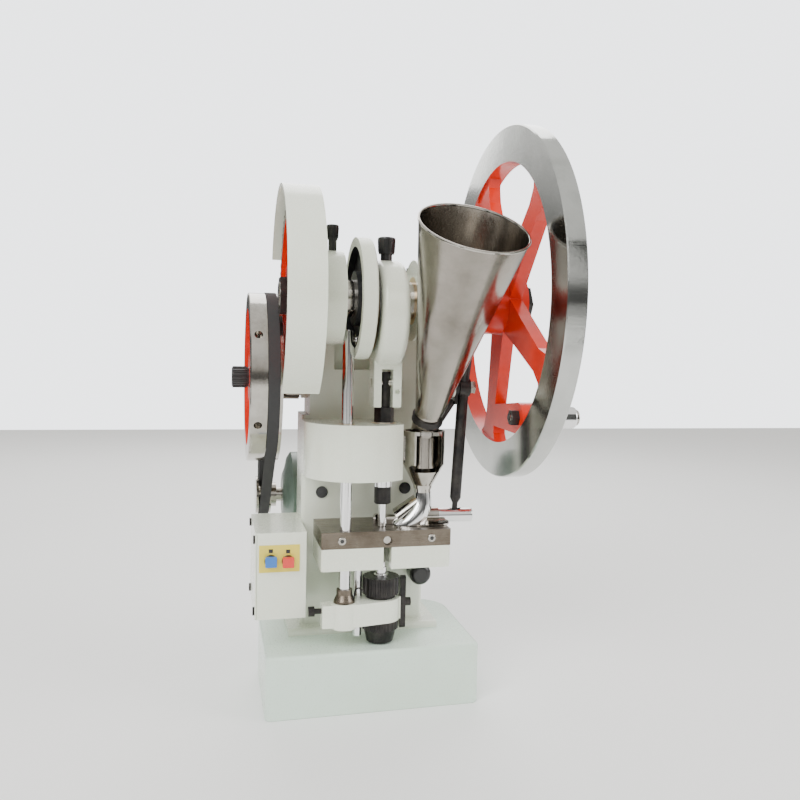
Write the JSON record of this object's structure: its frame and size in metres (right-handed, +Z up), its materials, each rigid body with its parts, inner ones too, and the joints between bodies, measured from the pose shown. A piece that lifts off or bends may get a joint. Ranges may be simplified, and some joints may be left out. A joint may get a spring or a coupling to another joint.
{
  "type": "tablet press",
  "caption": "Desktop single-punch tablet press with an eccentric ram, belt and gear drive, spoked handwheel, swinging feed shoe and conical hopper.",
  "frame": {"origin": "underside of the base, below the main shaft and midway between the base's two sides", "axes": "+X along the main shaft from the gears to the flywheel, +Y from the operator to the back, +Z up"},
  "size_m": [0.3575, 0.418, 0.64],
  "materials": {
    "enamel": "gloss enamel",
    "machined_steel": "ground",
    "dark_steel": "black oxide",
    "chrome": "polished",
    "red_enamel": "gloss enamel",
    "bronze": "plain",
    "stainless": "polished",
    "black_plastic": "gloss",
    "belt_rubber": "matt",
    "grey_green_enamel": "satin",
    "yellow_plate": "satin",
    "blue_plastic": "gloss",
    "red_plastic": "gloss"
  },
  "bodies": {
    "frame": {"base": "enamel", "column": "enamel", "upper_head": "enamel", "bushes": "bronze", "column_plugs": "black_plastic", "table_plate": "machined_steel", "table_screws": "machined_steel", "die": "machined_steel", "left_oil_cup": "black_plastic", "gear_guard": "enamel", "v_belt": "belt_rubber", "motor_body": "grey_green_enamel", "motor_mount": "enamel", "guide_post": "chrome", "lever_bracket": "enamel", "lever_bolt": "machined_steel", "hopper": "stainless", "hopper_bracket": "dark_steel", "control_box": "enamel", "box_cover": "enamel", "label_plate": "yellow_plate", "cable_gland": "black_plastic", "machine_screws": "dark_steel"},
    "main_shaft": {"main_shaft": "machined_steel", "big_gear": "machined_steel", "shaft_nuts": "dark_steel", "ejection_cam": "enamel", "feed_cam": "machined_steel", "flywheel": "red_enamel", "handle_pin": "machined_steel"},
    "handle": {"handle_sleeve": "chrome"},
    "eccentric": {"eccentric_sleeve": "bronze"},
    "ram": {"strap": "enamel", "wrist_pin": "machined_steel", "ram_stud": "dark_steel", "ram_nuts": "dark_steel", "ram": "chrome", "upper_punch": "chrome", "strap_oil_cup": "black_plastic"},
    "pinion": {"pinion_shaft": "machined_steel", "belt_pulley": "red_enamel", "pulley_knob": "black_plastic"},
    "motor_rotor": {"motor_pulley": "machined_steel"},
    "lift": {"lift_rod": "chrome", "rod_collar": "machined_steel", "lifting_bracket": "enamel", "clamp_screws": "dark_steel", "gear_lock_bar": "dark_steel", "lower_punch": "chrome"},
    "cam_roller": {"cam_roller": "machined_steel"},
    "upper_adjuster": {"upper_adjust_gear": "dark_steel"},
    "lower_adjuster": {"lower_adjust_gear": "dark_steel"},
    "feed_shoe": {"feed_shoe": "chrome", "feed_arm": "chrome", "feed_cup": "chrome"},
    "feed_lever": {"feed_lever": "dark_steel"},
    "lever_roller": {"lever_roller": "machined_steel"},
    "blue_button": {"blue_button": "blue_plastic"},
    "red_button": {"red_button": "red_plastic"},
    "side_knob": {"side_knob": "black_plastic"}
  },
  "joints": [
    {"name": "main_shaft_turn", "type": "hinge", "parent": "frame", "child": "main_shaft", "pos_m": [0, 0, 0.446], "axis": [1, 0, 0], "continuous": true},
    {"name": "eccentric_turn", "type": "hinge", "parent": "main_shaft", "child": "eccentric", "pos_m": [0.01, 0, 0.4385], "axis": [1, 0, 0], "continuous": true},
    {"name": "strap_turn", "type": "hinge", "parent": "eccentric", "child": "ram", "pos_m": [0.01, 0, 0.431], "axis": [1, 0, 0], "continuous": true},
    {"name": "handle_turn", "type": "hinge", "parent": "main_shaft", "child": "handle", "pos_m": [0.18, -0.071, 0.324], "axis": [1, 0, 0], "continuous": true},
    {"name": "pinion_turn", "type": "hinge", "parent": "frame", "child": "pinion", "pos_m": [-0.1, 0.0868, 0.35674], "axis": [1, 0, 0], "continuous": true},
    {"name": "motor_turn", "type": "hinge", "parent": "frame", "child": "motor_rotor", "pos_m": [-0.1, 0.17, 0.205], "axis": [1, 0, 0], "continuous": true},
    {"name": "lift_slide", "type": "slide", "parent": "frame", "child": "lift", "axis": [0, 0, 1], "range_m": [0, 0.012]},
    {"name": "cam_roller_turn", "type": "hinge", "parent": "lift", "child": "cam_roller", "pos_m": [-0.022, -0.016, 0.402], "axis": [1, 0, 0], "continuous": true},
    {"name": "upper_adjuster_turn", "type": "hinge", "parent": "lift", "child": "upper_adjuster", "pos_m": [0.0095, 0, 0.132], "axis": [0, 0, 1], "continuous": true},
    {"name": "lower_adjuster_turn", "type": "hinge", "parent": "lift", "child": "lower_adjuster", "pos_m": [0.0095, 0, 0.084], "axis": [0, 0, 1], "continuous": true},
    {"name": "feed_shoe_swing", "type": "hinge", "parent": "frame", "child": "feed_shoe", "pos_m": [0.056, 0.004, 0.2], "axis": [0, 0, 1], "range_deg": [0, 24]},
    {"name": "feed_lever_swing", "type": "hinge", "parent": "frame", "child": "feed_lever", "pos_m": [0.0998, 0.0012, 0.352], "axis": [1, 0, 0], "range_deg": [0, 6.3]},
    {"name": "lever_roller_turn", "type": "hinge", "parent": "feed_lever", "child": "lever_roller", "pos_m": [0.108, -0.026, 0.42], "axis": [1, 0, 0], "continuous": true},
    {"name": "blue_button_press", "type": "slide", "parent": "frame", "child": "blue_button", "axis": [0, 1, 0], "range_m": [0, 0.003], "stiffness_N_per_m": 400, "springref_m": -0.001},
    {"name": "red_button_press", "type": "slide", "parent": "frame", "child": "red_button", "axis": [0, 1, 0], "range_m": [0, 0.003], "stiffness_N_per_m": 400, "springref_m": -0.001},
    {"name": "side_knob_turn", "type": "hinge", "parent": "frame", "child": "side_knob", "pos_m": [0.061, 0.03, 0.134], "axis": [0, 1, 0], "continuous": true}
  ],
  "couplings": [
    {"joint": "eccentric_turn", "follows": "main_shaft_turn", "ratio": -2},
    {"joint": "strap_turn", "follows": "main_shaft_turn", "ratio": 1},
    {"joint": "pinion_turn", "follows": "main_shaft_turn", "ratio": -4.5333},
    {"joint": "motor_turn", "follows": "main_shaft_turn", "ratio": -21.504},
    {"joint": "feed_shoe_swing", "follows": "feed_lever_swing", "ratio": 3.8095}
  ]
}
